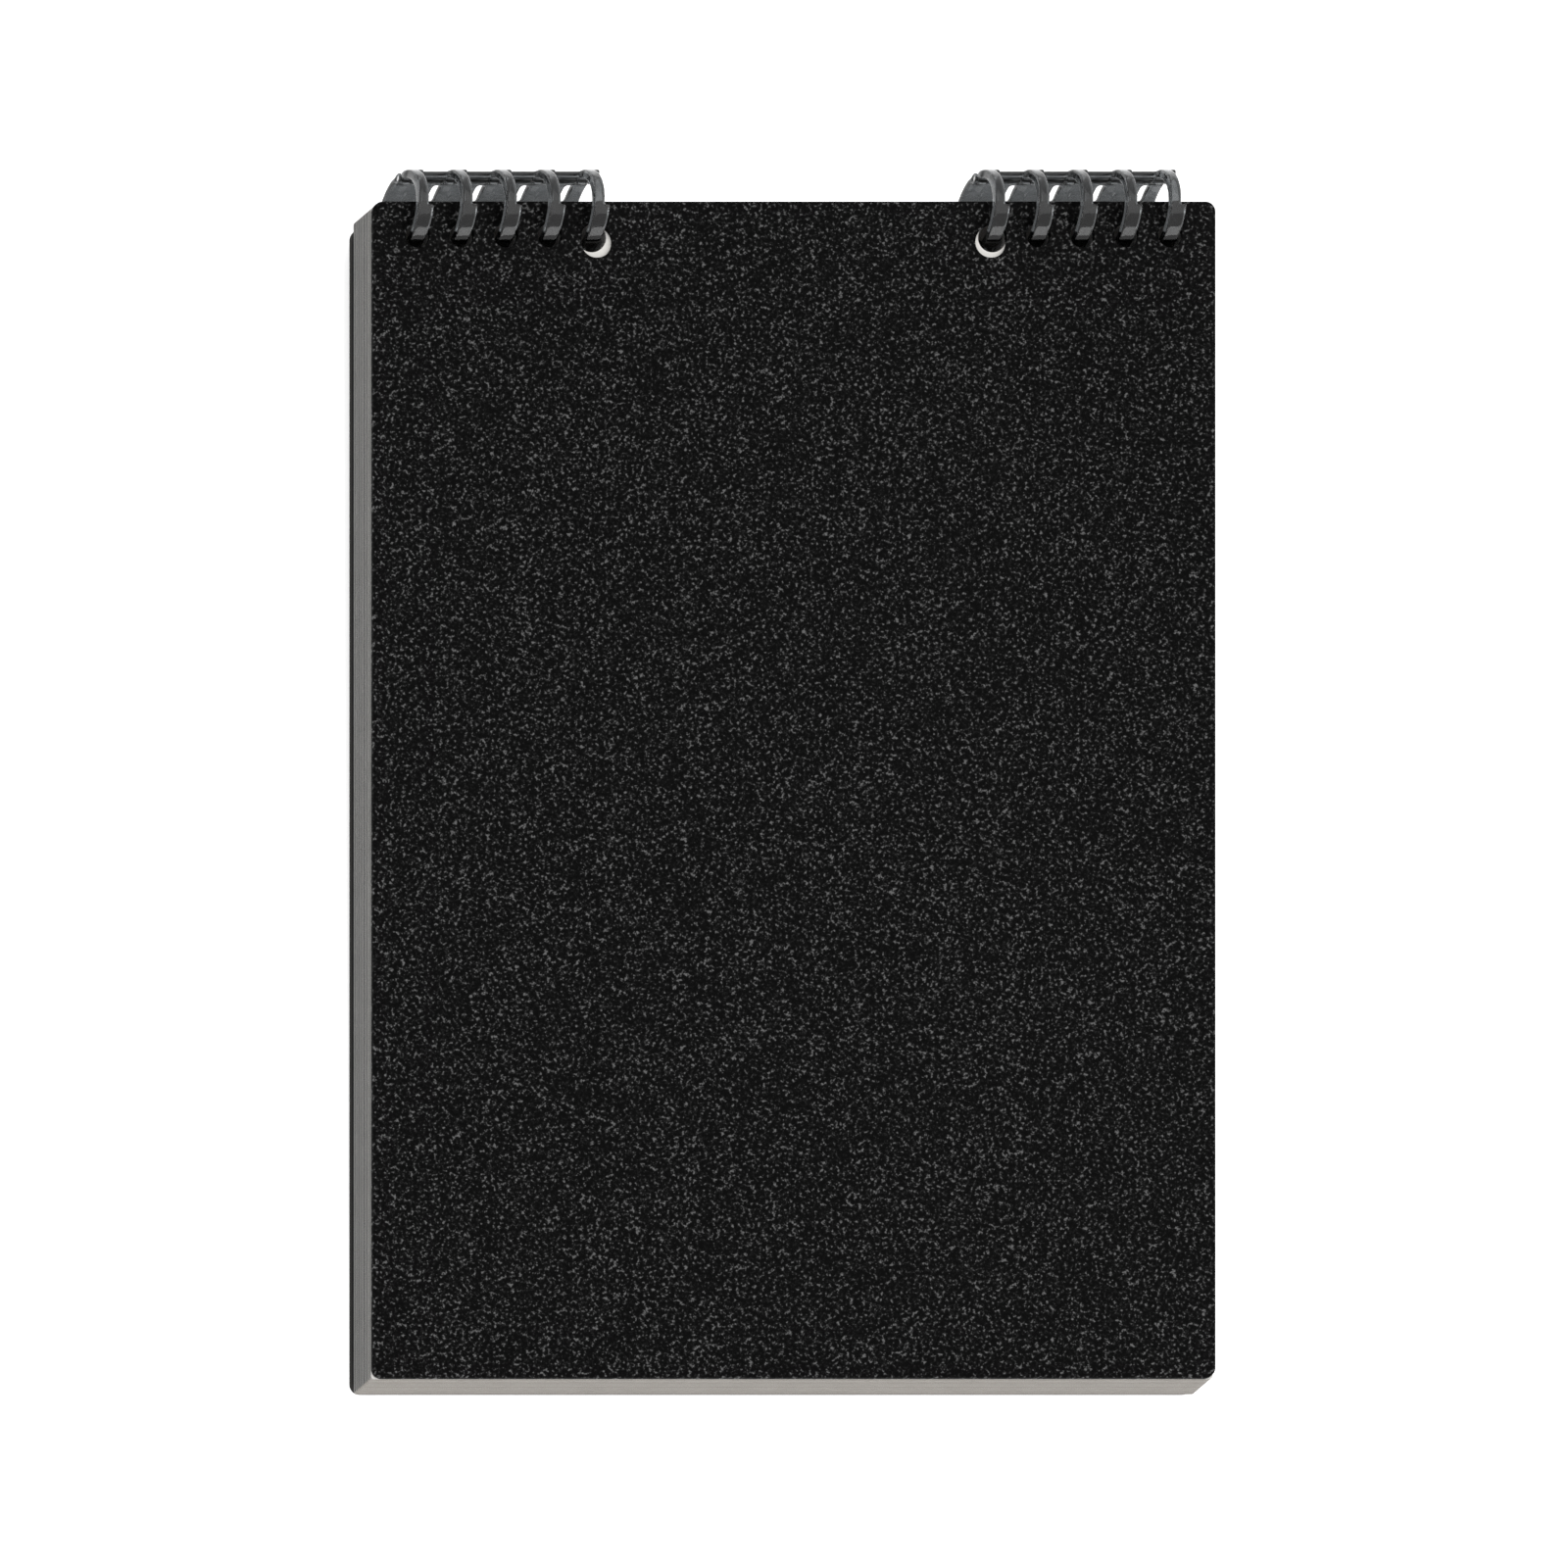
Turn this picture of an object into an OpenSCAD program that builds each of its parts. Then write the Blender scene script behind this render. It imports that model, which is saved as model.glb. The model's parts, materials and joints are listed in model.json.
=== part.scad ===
// A top-bound sketchbook: a grained black front cover and back board hold a block of
// drawing paper, and two clear plastic ring units bind them at the top edge. Each unit
// has five rings that split in two halves, hinged on a steel pin along its spine.
// The book lies on its back on a surface at z = 0, with its ring edge towards +Y.

/* [Covers and paper] */
// Width of the covers
page_w = 182; // [176:1:190]
// Height of the front cover, from its foot to the ring edge
page_h = 254; // [240:1:270]
// Radius of the corners of the front cover and the back board
corner_r = 2.2; // [1:0.1:4]
// Radius of the corners of the sheets
sheet_corner_r = 0.6; // [0.4:0.1:2]
// Thickness of the closed book, from the back board to the front cover
book_t = 10; // [9.8:0.05:10.2]
// Thickness of the front cover
cover_t = 0.8; // [0.6:0.05:0.9]
// Thickness of the back board
board_t = 1.2; // [1:0.05:1.25]
// Thickness of one sheet of drawing paper
sheet_t = 0.2; // [0.16:0.01:0.21]
// Sheets that turn over with the cover
turning_sheets = 6; // [4:1:6]
// Sheets that stay on the back board
resting_sheets = 26; // [20:1:26]

/* [Ring units] */
// Distance between neighbouring rings
ring_pitch = 9.5; // [9.5:0.1:9.7]
// Distance from the cover's side to the centre of the outermost ring
first_ring = 9.75; // [9.5:0.05:10.5]
// Outer radius of a ring
ring_r = 9; // [8.9:0.05:9.1]
// Radial thickness of a ring
ring_t = 1.8; // [1.5:0.1:1.9]
// Width of a ring along the spine
ring_w = 3.4; // [2.8:0.1:3.6]
// Width of a ring's neck, near its hinge
neck_w = 2.2; // [2:0.1:2.4]
// Diameter of the steel hinge pin
pin_d = 1; // [0.8:0.1:1.1]
// Radius of the holes punched in the sheets and the back board
hole_r = 3.1; // [3:0.05:3.2]
// Radius of the holes in the front cover
cover_hole_r = 2.6; // [2.5:0.05:2.8]

/* [Hidden] */
$fn = 96;
rings = 5;
sheets = turning_sheets + resting_sheets;
function sheet_name(k) = str("sheet_", k < 10 ? "0" : "", k);

// Stacking: gaps that let the sheets turn, and the room left for the resting sheets
cover_gap = 0.1;
board_gap = 0.1;
turning_gap = 0.08;
turning_top = book_t - cover_t - cover_gap;
resting_top = turning_top - turning_sheets * (sheet_t + turning_gap);
resting_pitch = (resting_top - board_t - board_gap) / resting_sheets;

// The sheets are cut a little smaller than the covers and never lie perfectly square
sheet_inset = 0.15;
sheet_tail = -0.1;
corner_steps = 4;
drift_x = 0.03;
drift_v = 0.03;

// The board stops short of the cover at both ends, which lets the cover turn right over
board_foot_gap = 0.6;
board_top_gap = 1.9;

// The rings turn about an axis just below the cover's ring edge, half way through the book
cover_tail = 0.7;
axis_v = page_h - cover_tail;
axis_w = book_t / 2;
hole_v = page_h - 7.5;
cover_hole_v = page_h - 7.3;

// The cover's hole nearest the middle of the page is drawn out, and shows the paper below
inner_hole_r = 3.4;
inner_hole_shift = 0.7;
inner_hole_v = page_h - 8.7;
unit_x = page_w / 2 - first_ring - (rings - 1) / 2 * ring_pitch;
ring_x = [for (k = [0:rings - 1]) (k - (rings - 1) / 2) * ring_pitch];
ring_in = ring_r - ring_t;
ring_mid = ring_r - ring_t / 2;

// The hinge barrel and the two bars that join the ring halves, as angles round the axis,
// counted from the foot of the page over the front of the book
barrel_r = 1.2;
hinge_r = ring_r - barrel_r;
hinge_angle = 180;
pin_play = 0.05;
pin_recess = 0.3;
bar_in = 7.4;
bar_out = 8.6;
spine_out = 8.8;
front_bar = [154, 168];
knuckle_arc = [166, 175];
spine_knuckle_arc = [185, 194];
spine_bar = [193, 232];
slot_arc = [197, 228];
slot_w = 1.6;
slot_shift = -1.6;
end_flange = 0.4;

// Near its hinge a ring narrows to a neck, which keeps to one side of the ring in front
// and to the other side behind. These are the angles where each neck begins and ends.
front_neck = [80, 150];
spine_neck = [spine_bar[0] - 2, 245];
unit_half = ring_x[rings - 1] + ring_w / 2 + end_flange;
knuckle_half = 1.2;
knuckle_play = 0.15;

// The snap joint at the ring tips
tip_gap = 0.35;
tongue_w = 1.4;
tongue_t = 0.8;
tongue_l = 1.4;
tongue_root = 0.6;
pocket_play = 0.15;
pocket_l = 1.6;

// The book lies on its foot edge and on its rings, so it tilts a little
foot_run = axis_v - board_foot_gap;
tilt = asin(ring_r / norm([foot_run, axis_w])) - atan2(axis_w, foot_run);
low_y = -book_t * sin(tilt);
high_y = axis_v * cos(tilt) - axis_w * sin(tilt) + ring_r;

module placed() {
    translate([0, -(low_y + high_y) / 2, -board_foot_gap * sin(tilt)])
        rotate([tilt, 0, 0])
            children();
}

// A cover's outline, with round corners, from foot to top
module cover_outline(foot, top, r) {
    side = page_w / 2 - r;
    translate([-side, foot])
        square([2 * side, top - foot]);
    translate([-page_w / 2, foot + r])
        square([page_w, top - foot - 2 * r]);
    for (x = [-side, side])
        for (v = [foot + r, top - r])
            translate([x, v])
                circle(r);
}

// A sheet's outline, whose corners are cut in a few short facets
module sheet_outline(foot) {
    half = [page_w / 2 - sheet_inset - drift_x, (axis_v + sheet_tail - foot) / 2];
    quarters = [[1, 1], [-1, 1], [-1, -1], [1, -1]];
    translate([0, foot + half[1]])
        polygon([
            for (q = [0:3])
                for (step = [0:corner_steps])
                    let (turn = 90 * (q + step / corner_steps))
                        [quarters[q][0] * (half[0] - sheet_corner_r) + sheet_corner_r * cos(turn),
                         quarters[q][1] * (half[1] - sheet_corner_r) + sheet_corner_r * sin(turn)]]);
}

// A row of punched holes for each ring unit
module holes(v, r) {
    for (side = [-1, 1])
        for (x = ring_x)
            translate([side * unit_x + x, v])
                circle(r);
}

module inner_holes() {
    for (side = [-1, 1])
        translate([side * (unit_x + ring_x[0] - inner_hole_shift), inner_hole_v])
            circle(inner_hole_r);
}

module front_cover() {
    color([0.09, 0.09, 0.095])
        placed()
            translate([0, 0, book_t - cover_t])
                linear_extrude(cover_t)
                    difference() {
                        cover_outline(0, page_h, corner_r);
                        holes(cover_hole_v, cover_hole_r);
                        inner_holes();
                    }
}

module back_board() {
    color([0.07, 0.07, 0.075])
        placed()
            linear_extrude(board_t)
                difference() {
                    cover_outline(board_foot_gap, page_h - board_top_gap, corner_r);
                    holes(hole_v, hole_r);
                }
}

// The height of a sheet's top face above the underside of the board
function sheet_top(k) = k <= turning_sheets
    ? turning_top - (k - 1) * (sheet_t + turning_gap)
    : resting_top - (k - turning_sheets - 1) * resting_pitch;

// How far a sheet lies out of square with the covers
function drift(k) = [drift_x * sin(137.5 * k), drift_v * sin(222.5 * k)];

module sheet(k) {
    foot = sheet_inset + drift_v + drift(k)[1];
    color([0.93, 0.92, 0.88])
        placed()
            translate([0, 0, sheet_top(k) - sheet_t])
                linear_extrude(sheet_t)
                    difference() {
                        translate([drift(k)[0], 0])
                            sheet_outline(foot);
                        holes(hole_v, hole_r);
                    }
}

// Puts children in the plane across the rings: X points to the foot of the page,
// Y to the front of the book and Z to the left side
module across_rings(side) {
    placed()
        translate([side * unit_x, axis_v, axis_w])
            rotate([90, 0, -90])
                children();
}

// A curved bar round the ring axis, between two radii, two places along the spine and
// two angles
module arc_bar(r, along, arc) {
    rotate([0, 0, arc[0]])
        rotate_extrude(angle = arc[1] - arc[0])
            translate([r[0], -along[1]])
                square([r[1] - r[0], along[1] - along[0]]);
}

module barrel(r, along) {
    rotate([0, 0, hinge_angle])
        translate([hinge_r, 0, -along[1]])
            cylinder(r = r, h = along[1] - along[0]);
}

function about(x, half) = [x - half, x + half];

// Half a ring at x, cut down to its neck on its right (1) or left (-1) side
module necked_ring(x, arc, side, neck_arc) {
    edge = neck_w - ring_w / 2;
    cut = side > 0 ? [x + edge, x + ring_w] : [x - ring_w, x - edge];
    difference() {
        arc_bar([ring_in, ring_r], about(x, ring_w / 2), arc);
        arc_bar([ring_in - 1, ring_r + 1], cut, neck_arc);
    }
}

// The stretches of barrel between the front half's knuckles
knuckle_gap = knuckle_half + knuckle_play;
spine_knuckles = concat(
    [[-unit_half, ring_x[0] - knuckle_gap]],
    [for (k = [0:rings - 2]) [ring_x[k] + knuckle_gap, ring_x[k + 1] - knuckle_gap]],
    [[ring_x[rings - 1] + knuckle_gap, unit_half]]);

// The half of a ring unit that lies over the front cover
module ring_front(side) {
    whole = [-unit_half, unit_half];
    color([0.62, 0.65, 0.68, 0.6])
        across_rings(side)
            difference() {
                union() {
                    arc_bar([bar_in, bar_out], whole, front_bar);
                    for (x = ring_x) {
                        necked_ring(x, [tip_gap, front_bar[1]], 1, front_neck);
                        arc_bar([bar_in, bar_out], about(x, knuckle_half), knuckle_arc);
                        barrel(barrel_r, about(x, knuckle_half));
                        translate([ring_mid - tongue_t / 2, -tongue_l, -x - tongue_w / 2])
                            cube([tongue_t, tongue_l + tongue_root, tongue_w]);
                    }
                }
                barrel(pin_d / 2 + pin_play, 1.1 * whole);
            }
}

// The half of a ring unit that runs along the spine and behind the back board
module ring_spine(side) {
    whole = [-unit_half, unit_half];
    color([0.62, 0.65, 0.68, 0.6])
        across_rings(side)
            difference() {
                union() {
                    arc_bar([bar_in, spine_out], whole, spine_bar);
                    for (x = ring_x)
                        necked_ring(x, [spine_bar[0], 360 - tip_gap], -1, spine_neck);
                    for (stretch = spine_knuckles) {
                        arc_bar([bar_in, bar_out], stretch, spine_knuckle_arc);
                        barrel(barrel_r, stretch);
                    }
                }
                barrel(pin_d / 2 + pin_play, 1.1 * whole);
                for (k = [1:rings - 1])
                    arc_bar([ring_in - 1, ring_r + 1], about(ring_x[k] + slot_shift, slot_w / 2), slot_arc);
                pocket = [tongue_t + 2 * pocket_play, 2 * pocket_l, tongue_w + 2 * pocket_play];
                for (x = ring_x)
                    translate([ring_mid, 0, -x] - pocket / 2)
                        cube(pocket);
            }
}

module hinge_pin(side) {
    color([0.75, 0.76, 0.78])
        across_rings(side)
            barrel(pin_d / 2, about(0, unit_half - pin_recess));
}

front_cover();
back_board();
for (k = [1:sheets])
    sheet(k);
ring_front(-1);  // left_ring_front
ring_spine(-1);  // left_ring_spine
hinge_pin(-1);  // left_hinge_pin
ring_front(1);  // right_ring_front
ring_spine(1);  // right_ring_spine
hinge_pin(1);  // right_hinge_pin
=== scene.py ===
"""The looks of a top-bound sketchbook: grained black covers, a block of drawing paper and
two smoky plastic ring units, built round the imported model."""

import json
import math

import bmesh
import bpy
from mathutils import Matrix, Vector

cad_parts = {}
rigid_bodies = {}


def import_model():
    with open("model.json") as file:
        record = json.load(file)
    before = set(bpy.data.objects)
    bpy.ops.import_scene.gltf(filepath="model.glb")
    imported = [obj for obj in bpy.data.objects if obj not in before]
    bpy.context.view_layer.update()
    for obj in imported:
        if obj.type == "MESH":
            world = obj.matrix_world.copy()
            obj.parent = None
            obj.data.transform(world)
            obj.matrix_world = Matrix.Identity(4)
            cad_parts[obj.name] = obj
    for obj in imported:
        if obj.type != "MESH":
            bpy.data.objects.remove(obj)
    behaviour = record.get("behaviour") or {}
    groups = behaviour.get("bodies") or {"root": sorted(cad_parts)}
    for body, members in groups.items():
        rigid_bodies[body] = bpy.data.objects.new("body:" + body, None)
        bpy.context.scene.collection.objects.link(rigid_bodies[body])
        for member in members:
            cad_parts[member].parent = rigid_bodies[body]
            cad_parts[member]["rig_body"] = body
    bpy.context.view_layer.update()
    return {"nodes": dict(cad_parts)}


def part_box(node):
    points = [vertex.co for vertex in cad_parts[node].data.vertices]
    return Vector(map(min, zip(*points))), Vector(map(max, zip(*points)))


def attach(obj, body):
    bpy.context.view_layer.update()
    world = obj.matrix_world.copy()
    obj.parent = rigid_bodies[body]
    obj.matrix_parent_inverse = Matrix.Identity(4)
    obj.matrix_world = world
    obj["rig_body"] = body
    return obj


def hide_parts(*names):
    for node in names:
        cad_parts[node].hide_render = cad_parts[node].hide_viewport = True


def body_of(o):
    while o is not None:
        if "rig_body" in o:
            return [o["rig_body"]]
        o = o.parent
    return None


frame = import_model()
nodes = frame["nodes"]
MM = 0.001

cover_low, cover_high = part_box("front_cover")
COVER_T = 0.8 * MM
PAGE_W = cover_high.x - cover_low.x
TILT = math.asin((cover_high.z - cover_low.z - COVER_T) / (cover_high.y - cover_low.y))
UP_PAGE = Vector((0, math.cos(TILT), math.sin(TILT)))
OUT_OF_PAGE = Vector((0, -math.sin(TILT), math.cos(TILT)))


# ---------------------------------------------------------------- camera and light

# The cover faces the camera squarely, and the block recedes to the lower left: for each
# unit of depth a point moves this far along the page's width and height.
RECEDE = (0.508, 0.434)
# How much of the picture's width the cover takes
COVER_SHARE = 860 / 1600
VIEW_WIDTH = PAGE_W / COVER_SHARE
AIM_OFFSET = (-2.2 * MM, 1.2 * MM)
CAMERA_DISTANCE = 0.6


def make_camera():
    centre = (cover_low + cover_high) / 2 + OUT_OF_PAGE * COVER_T / 2
    aim = centre + Vector((AIM_OFFSET[0], 0, 0)) + UP_PAGE * AIM_OFFSET[1]
    back = OUT_OF_PAGE - Vector((RECEDE[0], 0, 0)) - UP_PAGE * RECEDE[1]
    place = Matrix.Identity(4)
    columns = (Vector((1, 0, 0)), UP_PAGE, back, aim + back * CAMERA_DISTANCE)
    for i, column in enumerate(columns):
        for row in range(3):
            place[row][i] = column[row]
    stand = bpy.data.objects.new("camera_stand", None)
    camera = bpy.data.objects.new("camera", bpy.data.cameras.new("camera"))
    for o in (stand, camera):
        bpy.context.scene.collection.objects.link(o)
    camera.data.type = "ORTHO"
    camera.data.ortho_scale = VIEW_WIDTH
    camera.data.clip_start, camera.data.clip_end = 0.01, 20
    camera.parent = stand
    camera.matrix_parent_inverse = place
    bpy.context.scene.camera = camera


def make_light(name, size, power, place, target):
    lamp = bpy.data.lights.new(name, "AREA")
    lamp.shape, lamp.size, lamp.size_y = "RECTANGLE", size[0], size[1]
    lamp.energy = power
    o = bpy.data.objects.new(name, lamp)
    o.location = place
    o.rotation_euler = (Vector(target) - Vector(place)).to_track_quat("-Z", "Y").to_euler()
    bpy.context.scene.collection.objects.link(o)


def make_studio():
    world = bpy.data.worlds.new("studio")
    bpy.context.scene.world = world
    world.use_nodes = True
    sky = world.node_tree.nodes["Background"]
    sky.inputs["Color"].default_value = (1, 1, 1, 1)
    sky.inputs["Strength"].default_value = 1.05
    make_light("overhead", (1.6, 1.6), 7, (0.3, 0.2, 1.5), (0, 0, 0))
    make_light("foot_light", (1.2, 0.5), 5, (0.35, -1.1, 0.5), (0, 0, 0))
    make_light("side_strip", (0.1, 1.2), 1.2, (-0.7, 0.05, 0.45), (0, 0.1, 0))
    bpy.context.scene.view_settings.view_transform = "Standard"


# ---------------------------------------------------------------- shader maths

class Signal:
    """A socket's value. Sums on it add Math nodes to its material."""

    def __init__(self, paint, socket):
        self.paint, self.socket = paint, socket

    def math(self, operation, *values):
        inputs = dict(enumerate(values))
        return self.paint.node("ShaderNodeMath", {"operation": operation}, inputs)

    def __add__(self, other):
        return self.math("ADD", self, other)

    def __sub__(self, other):
        return self.math("SUBTRACT", self, other)

    def __mul__(self, other):
        return self.math("MULTIPLY", self, other)

    def __rsub__(self, other):
        return self.math("SUBTRACT", other, self)

    __radd__, __rmul__ = __add__, __mul__

    def between(self, low, high):
        """0 below low, 1 above high and smooth between them."""
        settings = {"interpolation_type": "SMOOTHSTEP"}
        return self.paint.node("ShaderNodeMapRange", settings, {0: self, 1: low, 2: high})


class Paint:
    """A material made of one Principled shader and the nodes that feed it."""

    def __init__(self, name, **constants):
        self.material = bpy.data.materials.new(name)
        self.material.use_nodes = True
        self.tree = self.material.node_tree
        self.shader = self.tree.nodes["Principled BSDF"]
        for socket, value in constants.items():
            self.shader.inputs[socket.replace("_", " ")].default_value = value

    def node(self, kind, settings, inputs, output=0):
        made = self.tree.nodes.new(kind)
        for key, value in settings.items():
            if key == "stops":
                while len(made.color_ramp.elements) < len(value):
                    made.color_ramp.elements.new(0.5)
                for element, (place, shade) in zip(made.color_ramp.elements, value):
                    element.position, element.color = place, (*shade, 1)
            else:
                setattr(made, key, value)
        for key, value in inputs.items():
            if isinstance(value, Signal):
                self.tree.links.new(value.socket, made.inputs[key])
            else:
                made.inputs[key].default_value = value
        return Signal(self, made.outputs[output])

    def feed(self, socket, signal):
        self.tree.links.new(signal.socket, self.shader.inputs[socket])

    def places(self, stretch=(1, 1, 1), turn=(0, 0, 0)):
        """Object coordinates, stretched and turned."""
        raw = self.node("ShaderNodeTexCoord", {}, {}, "Object")
        return self.node("ShaderNodeMapping", {}, {"Vector": raw, "Scale": stretch, "Rotation": turn})

    def noise(self, where, size, detail=2.0, rough=0.5):
        """Noise whose features are about size metres across."""
        return self.node("ShaderNodeTexNoise", {}, {
            "Vector": where, "Scale": 1 / size, "Detail": detail, "Roughness": rough})

    def ramp(self, signal, *stops):
        return self.node("ShaderNodeValToRGB", {"stops": stops}, {0: signal})

    def mix(self, share, first, second):
        settings = {"data_type": "RGBA"}
        return self.node("ShaderNodeMix", settings, {0: share, 6: first, 7: second}, 2)

    def bump(self, height, depth, strength=1.0):
        self.feed("Normal", self.node("ShaderNodeBump", {}, {
            "Height": height, "Distance": depth, "Strength": strength}))

    def facing(self, way):
        """1 where the surface faces this way or the opposite one, and 0 where it is square to it."""
        along = self.along("Normal", way)
        return along.math("ABSOLUTE", along).between(0.4, 0.7)

    def along(self, coordinate, way):
        """How far the place or the normal goes along a direction."""
        raw = self.node("ShaderNodeTexCoord", {}, {}, coordinate)
        dot = {"operation": "DOT_PRODUCT"}
        return self.node("ShaderNodeVectorMath", dot, {0: raw, 1: tuple(way)}, "Value")


# Turns a grain so that its own grid lies square to no surface
ASKEW = (0.6, 0.45, 0.3)

# How far below the cover the painted highlight on the first sheet's edge ends, and how softly
FIRST_SHEET_HIGHLIGHT_DEPTH = 0.42 * MM
FIRST_SHEET_HIGHLIGHT_BLEND = 0.1 * MM


def cover_under():
    """How far the underside of the front cover lies along OUT_OF_PAGE."""
    return cover_low.dot(OUT_OF_PAGE)


def grey(value, warmth=0.0):
    return (value * (1 + warmth), value, value * (1 - warmth))


# ---------------------------------------------------------------- finishes

def cover_plastic():
    """Black polypropylene with a sand grain moulded into it, its peaks painted lighter as painted glints.
    """
    paint = Paint("cover_plastic", Specular_IOR_Level=0.035)
    where = paint.places(turn=ASKEW)
    grain = paint.noise(where, 0.75 * MM, 1.0, 0.5)
    sand = paint.noise(where, 0.34 * MM, 1.0, 0.5)
    blotch = paint.noise(where, 7 * MM, 2.0)
    level = grain * 0.72 + sand * 0.28 + (blotch - 0.5) * 0.06
    # painted glint: the base colour goes lighter on the grain's peaks to stand in for light caught there;
    # the bump and roughness add real highlights too
    shade = paint.ramp(
        level, (0.40, grey(0.0004)), (0.51, grey(0.0018)), (0.58, grey(0.0095)), (0.69, grey(0.095)))
    paint.feed("Base Color", shade)
    paint.feed("Roughness", 0.62 - level * 0.2)
    paint.bump(grain * 0.7 + sand * 0.3, 0.05 * MM, 0.6)
    return paint.material


def board_black():
    """Pressed board with a black paper face: short fibres under a dull finish."""
    paint = Paint("board_black", Specular_IOR_Level=0.12)
    fibre = paint.noise(paint.places((1, 0.35, 1), (0, 0, 0.5)), 0.5 * MM, 4.0, 0.65)
    cloud = paint.noise(paint.places(), 12 * MM, 3.0)
    edge = paint.ramp(fibre, (0.3, grey(0.004)), (0.7, grey(0.014, 0.1)))
    face = paint.ramp(fibre * 0.7 + cloud * 0.3, (0.35, grey(0.005)), (0.65, grey(0.014)))
    paint.feed("Base Color", paint.mix(paint.facing(OUT_OF_PAGE), edge, face))
    paint.feed("Roughness", 0.6 + fibre * 0.2)
    paint.bump(fibre, 0.03 * MM, 0.5)
    return paint.material


def drawing_paper():
    """Uncoated drawing paper: a faint tooth on its faces, and streaky cut edges painted grey as painted
    shade.
    """
    paint = Paint("drawing_paper", Specular_IOR_Level=0.1)
    where = paint.places()
    tooth = paint.noise(where, 0.35 * MM, 4.0, 0.65)
    pulp = paint.noise(where, 6 * MM, 3.0)
    face = paint.ramp(tooth * 0.4 + pulp * 0.6, (0.35, (0.62, 0.605, 0.575)), (0.65, (0.68, 0.667, 0.64)))
    # each sheet's cut edge has a tone of its own, with faint marks along it
    layer = paint.noise(paint.places((0.01, 0.01, 1)), 0.22 * MM, 1.0)
    nick = paint.noise(paint.places((0.25, 0.25, 1)), 0.9 * MM, 3.0, 0.6)
    tone = layer * 0.55 + nick * 0.45
    # painted shade: the cut edges are painted dark grey for the shade on them, the long edges darker than
    # the foot edge
    long_edge_painted_shade = paint.ramp(tone, (0.32, grey(0.050, -0.02)), (0.68, grey(0.062, -0.02)))
    foot_edge_painted_shade = paint.ramp(tone, (0.32, grey(0.157, 0.08)), (0.68, grey(0.191, 0.08)))
    edge = paint.mix(paint.facing(UP_PAGE), long_edge_painted_shade, foot_edge_painted_shade)
    # painted highlight: the edge of the sheet next to the cover is painted bright, for the light line
    # beside the cover
    block_top = cover_under() - FIRST_SHEET_HIGHLIGHT_DEPTH
    first = paint.along("Object", OUT_OF_PAGE).between(block_top, block_top + FIRST_SHEET_HIGHLIGHT_BLEND)
    edge = paint.mix(first, edge, (*grey(0.42), 1))
    paint.feed("Base Color", paint.mix(paint.facing(OUT_OF_PAGE), edge, face))
    paint.feed("Roughness", 0.8 + tooth * 0.15)
    paint.bump(tooth, 0.02 * MM, 0.4)
    return paint.material


def smoky_plastic():
    """Clear plastic tinted with smoke, with a faint flow in its surface."""
    paint = Paint("smoky_plastic", Transmission_Weight=1.0, IOR=1.45, Specular_IOR_Level=0.32)
    flow = paint.noise(paint.places((0.4, 1, 1)), 4 * MM, 2.0)
    haze = paint.noise(paint.places(), 1.2 * MM, 3.0)
    paint.feed("Base Color", paint.ramp(haze, (0.3, (0.06, 0.064, 0.066)), (0.7, (0.10, 0.105, 0.109))))
    paint.feed("Roughness", 0.03 + haze * 0.05)
    paint.bump(flow, 0.15 * MM, 0.25)
    return paint.material


def pin_steel():
    """Drawn steel wire with fine streaks along it."""
    paint = Paint("pin_steel", Metallic=1.0)
    streak = paint.noise(paint.places((0.02, 1, 1)), 0.08 * MM, 2.0)
    paint.feed("Base Color", paint.ramp(streak, (0.3, grey(0.42)), (0.7, grey(0.66))))
    paint.feed("Roughness", 0.22 + streak * 0.15)
    paint.bump(streak, 0.01 * MM, 0.4)
    return paint.material


def floor_white():
    """A pale table that glows a little: its emission is painted light that lifts the shadows on it and
    round the book.
    """
    paint = Paint("floor_white", Specular_IOR_Level=0.2, Roughness=0.7, Emission_Strength=0.5)
    soft = paint.noise(paint.places(), 0.4, 2.0)
    paint.feed("Base Color", paint.ramp(soft, (0.3, grey(0.90)), (0.7, grey(0.92))))
    return paint.material


def finish(piece, material):
    """Gives a piece its one material."""
    piece.data.materials.clear()
    piece.data.materials.append(material)


# ---------------------------------------------------------------- pieces

# The ring mouldings are remeshed at this size, and smoothed this many times
VOXEL = 0.2 * MM
SOFTENING = 10
WELD = 0.002 * MM
COVER_RIM = 0.14 * MM
BOARD_RIM = 0.2 * MM


def make_floor(material):
    mesh = bpy.data.meshes.new("floor")
    bm = bmesh.new()
    bmesh.ops.create_grid(bm, x_segments=1, y_segments=1, size=4)
    bmesh.ops.translate(bm, vec=(0, 0, -0.1 * MM), verts=bm.verts)
    bm.to_mesh(mesh)
    bm.free()
    floor = bpy.data.objects.new("floor", mesh)
    bpy.context.scene.collection.objects.link(floor)
    finish(floor, material)


def merged_copy(node):
    """A copy of a CAD node's mesh, with its loose triangles joined."""
    bm = bmesh.new()
    bm.from_mesh(nodes[node].data)
    bmesh.ops.remove_doubles(bm, verts=bm.verts, dist=WELD)
    return bm


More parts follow.
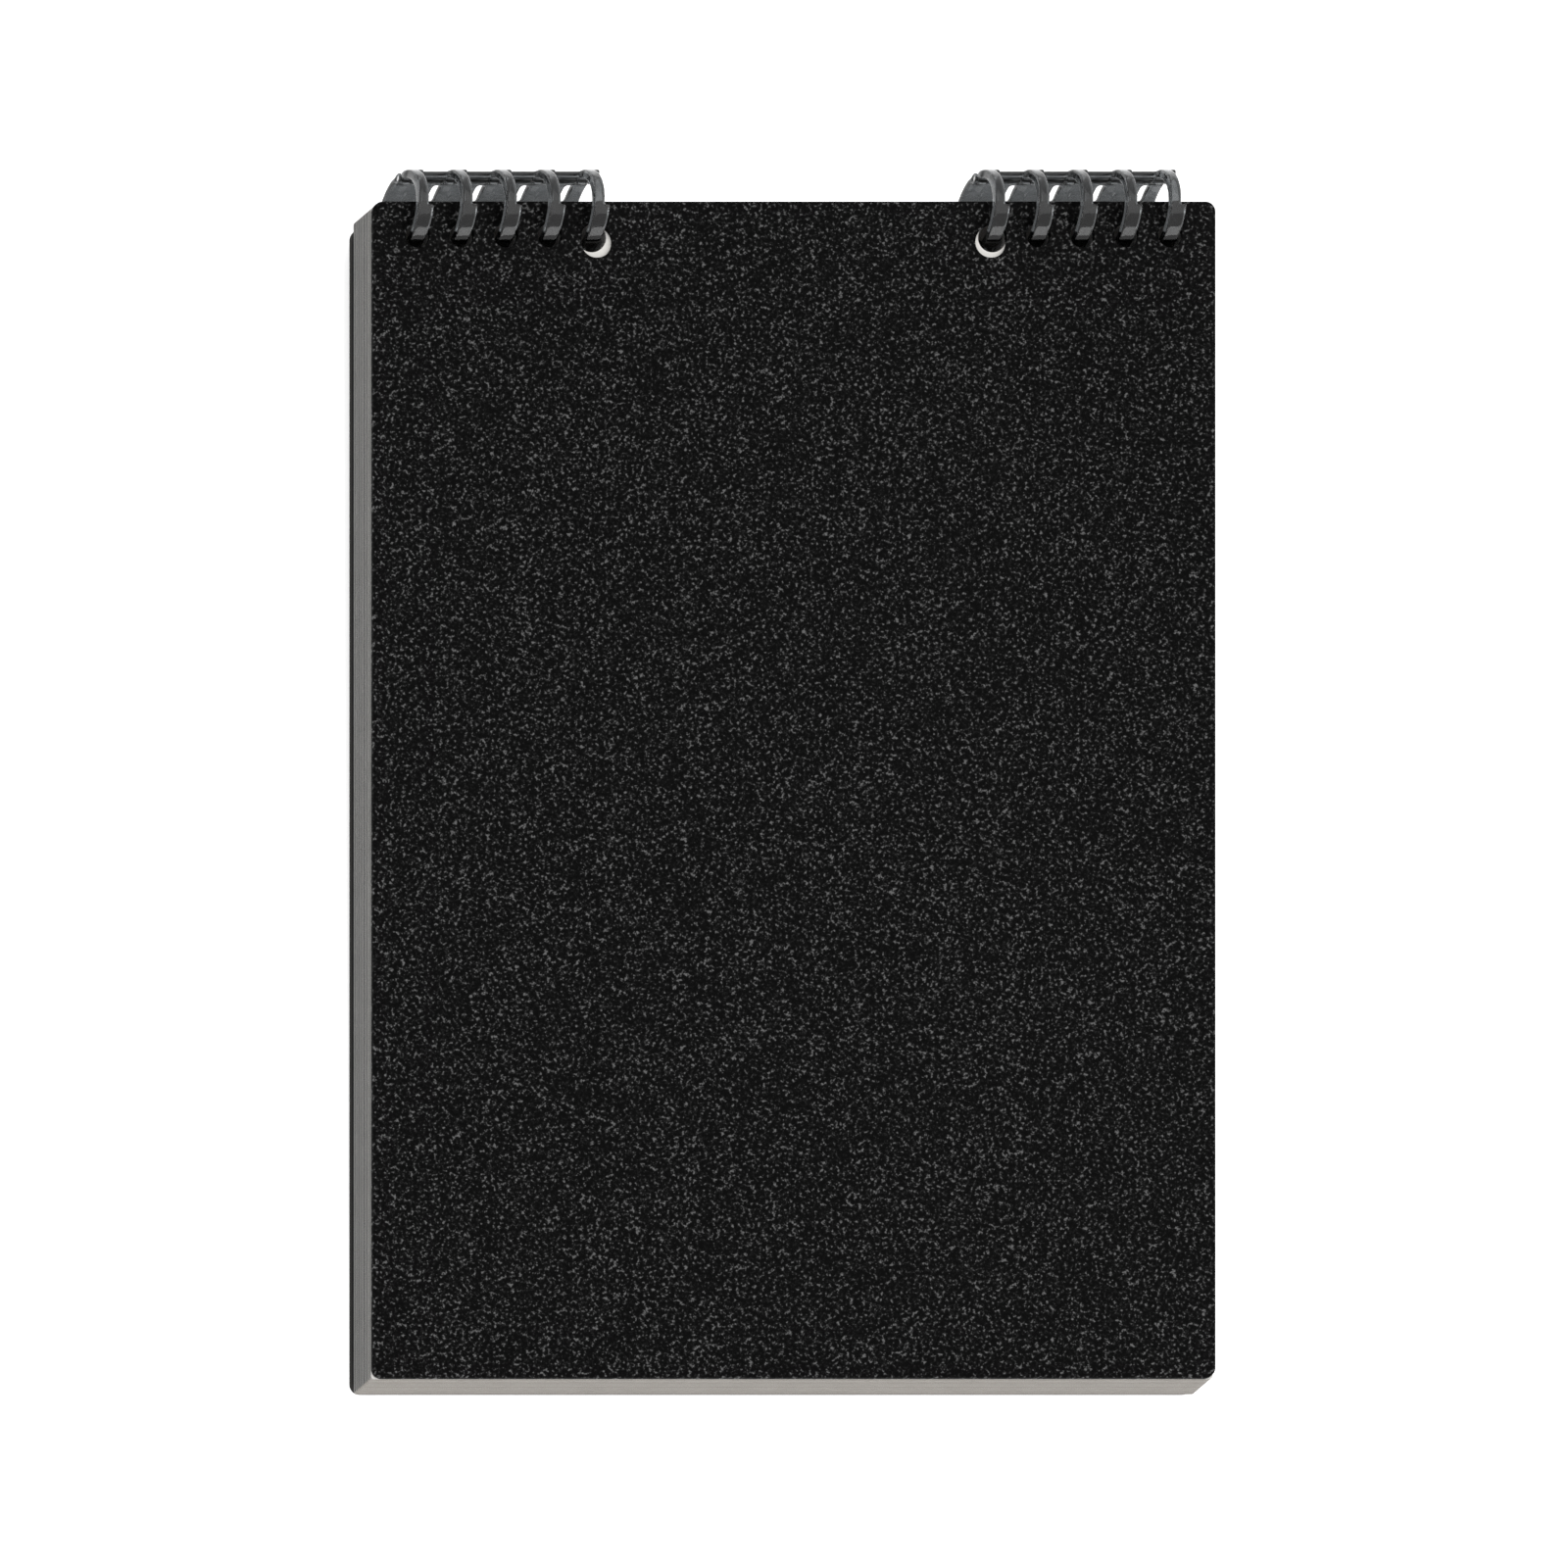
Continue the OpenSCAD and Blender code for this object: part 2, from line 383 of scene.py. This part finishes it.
def add_piece(name, bm, node, material):
    """Adds a piece that stands for a CAD node and moves with its body."""
    mesh = bpy.data.meshes.new(name)
    bm.to_mesh(mesh)
    bm.free()
    piece = bpy.data.objects.new(name, mesh)
    bpy.context.scene.collection.objects.link(piece)
    finish(piece, material)
    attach(piece, body_of(nodes[node])[0])
    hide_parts(node)
    return piece


def round_edges(node, material, width):
    """A flat piece with its rims and outline rounded over."""
    bm = merged_copy(node)
    bmesh.ops.dissolve_limit(bm, angle_limit=math.radians(0.5), verts=bm.verts, edges=bm.edges)
    for face in bm.faces:
        face.smooth = True
    piece = add_piece(node + "_rounded", bm, node, material)
    bevel = piece.modifiers.new("rim", "BEVEL")
    bevel.width = width
    bevel.segments = 3
    bevel.limit_method = "ANGLE"
    bevel.angle_limit = math.radians(50)
    bevel.harden_normals = True
    return piece


def soften_moulding(node, material):
    """A ring half as one moulding, with its corners softened."""
    piece = add_piece(node + "_moulded", merged_copy(node), node, material)
    skin = piece.modifiers.new("skin", "REMESH")
    skin.mode = "VOXEL"
    skin.voxel_size = VOXEL
    depsgraph = bpy.context.evaluated_depsgraph_get()
    bm = bmesh.new()
    bm.from_mesh(piece.evaluated_get(depsgraph).data)
    piece.modifiers.remove(skin)
    for _ in range(SOFTENING):
        bmesh.ops.smooth_vert(
            bm, verts=bm.verts, factor=0.5, use_axis_x=True, use_axis_y=True, use_axis_z=True)
    for face in bm.faces:
        face.smooth = True
    bm.to_mesh(piece.data)
    bm.free()
    return piece


make_camera()
make_studio()
make_floor(floor_white())

cover_finish = cover_plastic()
board_finish = board_black()
paper_finish = drawing_paper()
ring_finish = smoky_plastic()
pin_finish = pin_steel()

for name, node in nodes.items():
    if name.startswith("sheet_"):
        finish(node, paper_finish)
    elif name.endswith("_hinge_pin"):
        finish(node, pin_finish)
    elif name.endswith("_ring_front") or name.endswith("_ring_spine"):
        finish(node, ring_finish)
        soften_moulding(name, ring_finish)
    elif name == "front_cover":
        finish(node, cover_finish)
        round_edges(name, cover_finish, COVER_RIM)
    else:
        finish(node, board_finish)
        round_edges(name, board_finish, BOARD_RIM)
